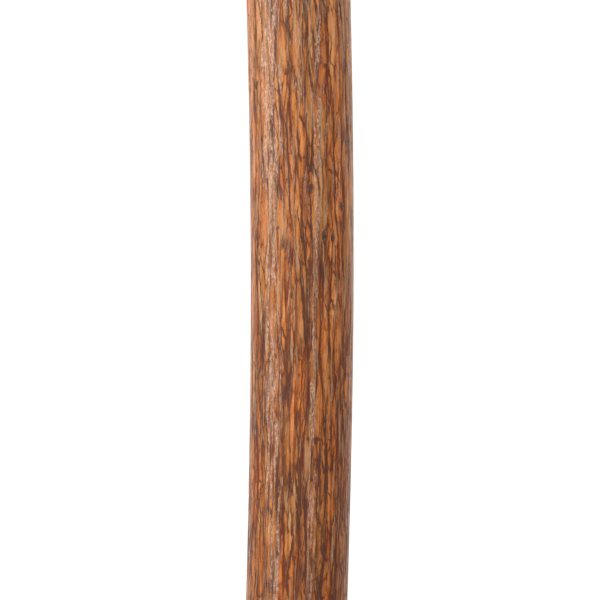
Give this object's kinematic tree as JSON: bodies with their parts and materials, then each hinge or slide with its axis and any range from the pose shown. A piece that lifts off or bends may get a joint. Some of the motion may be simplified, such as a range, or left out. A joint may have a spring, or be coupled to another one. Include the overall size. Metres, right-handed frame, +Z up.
{
  "type": "single point cane",
  "caption": "Walking cane with a gently bowed natural hardwood shaft, a derby handle, a beaded collar and a pull-off rubber tip.",
  "frame": {"origin": "centre of the rubber tip's ground face", "axes": "+Z up along the shaft, X along the grip with the nose at -X and the tail at +X, Y across the grip"},
  "size_m": [0.1256, 0.039, 0.9397],
  "materials": {
    "shaft_wood": "clear varnish, semi-gloss",
    "handle_wood": "stained, clear varnish, semi-gloss",
    "brass": "turned and polished",
    "steel": "zinc plated",
    "dark_fibre": "satin",
    "rubber": "moulded, matt"
  },
  "bodies": {
    "tip": {"rubber_tip": "rubber", "tip_washer": "steel"},
    "cane": {"shaft": "shaft_wood", "handle": "handle_wood", "handle_insert": "brass", "hanger_bolt": "steel", "upper_spacer": "dark_fibre", "collar": "brass", "lower_spacer": "dark_fibre"}
  },
  "joints": [
    {"name": "tip_pull_off", "type": "slide", "parent": "tip", "child": "cane", "axis": [0, 0, 1], "range_m": [0, 0.04]}
  ]
}
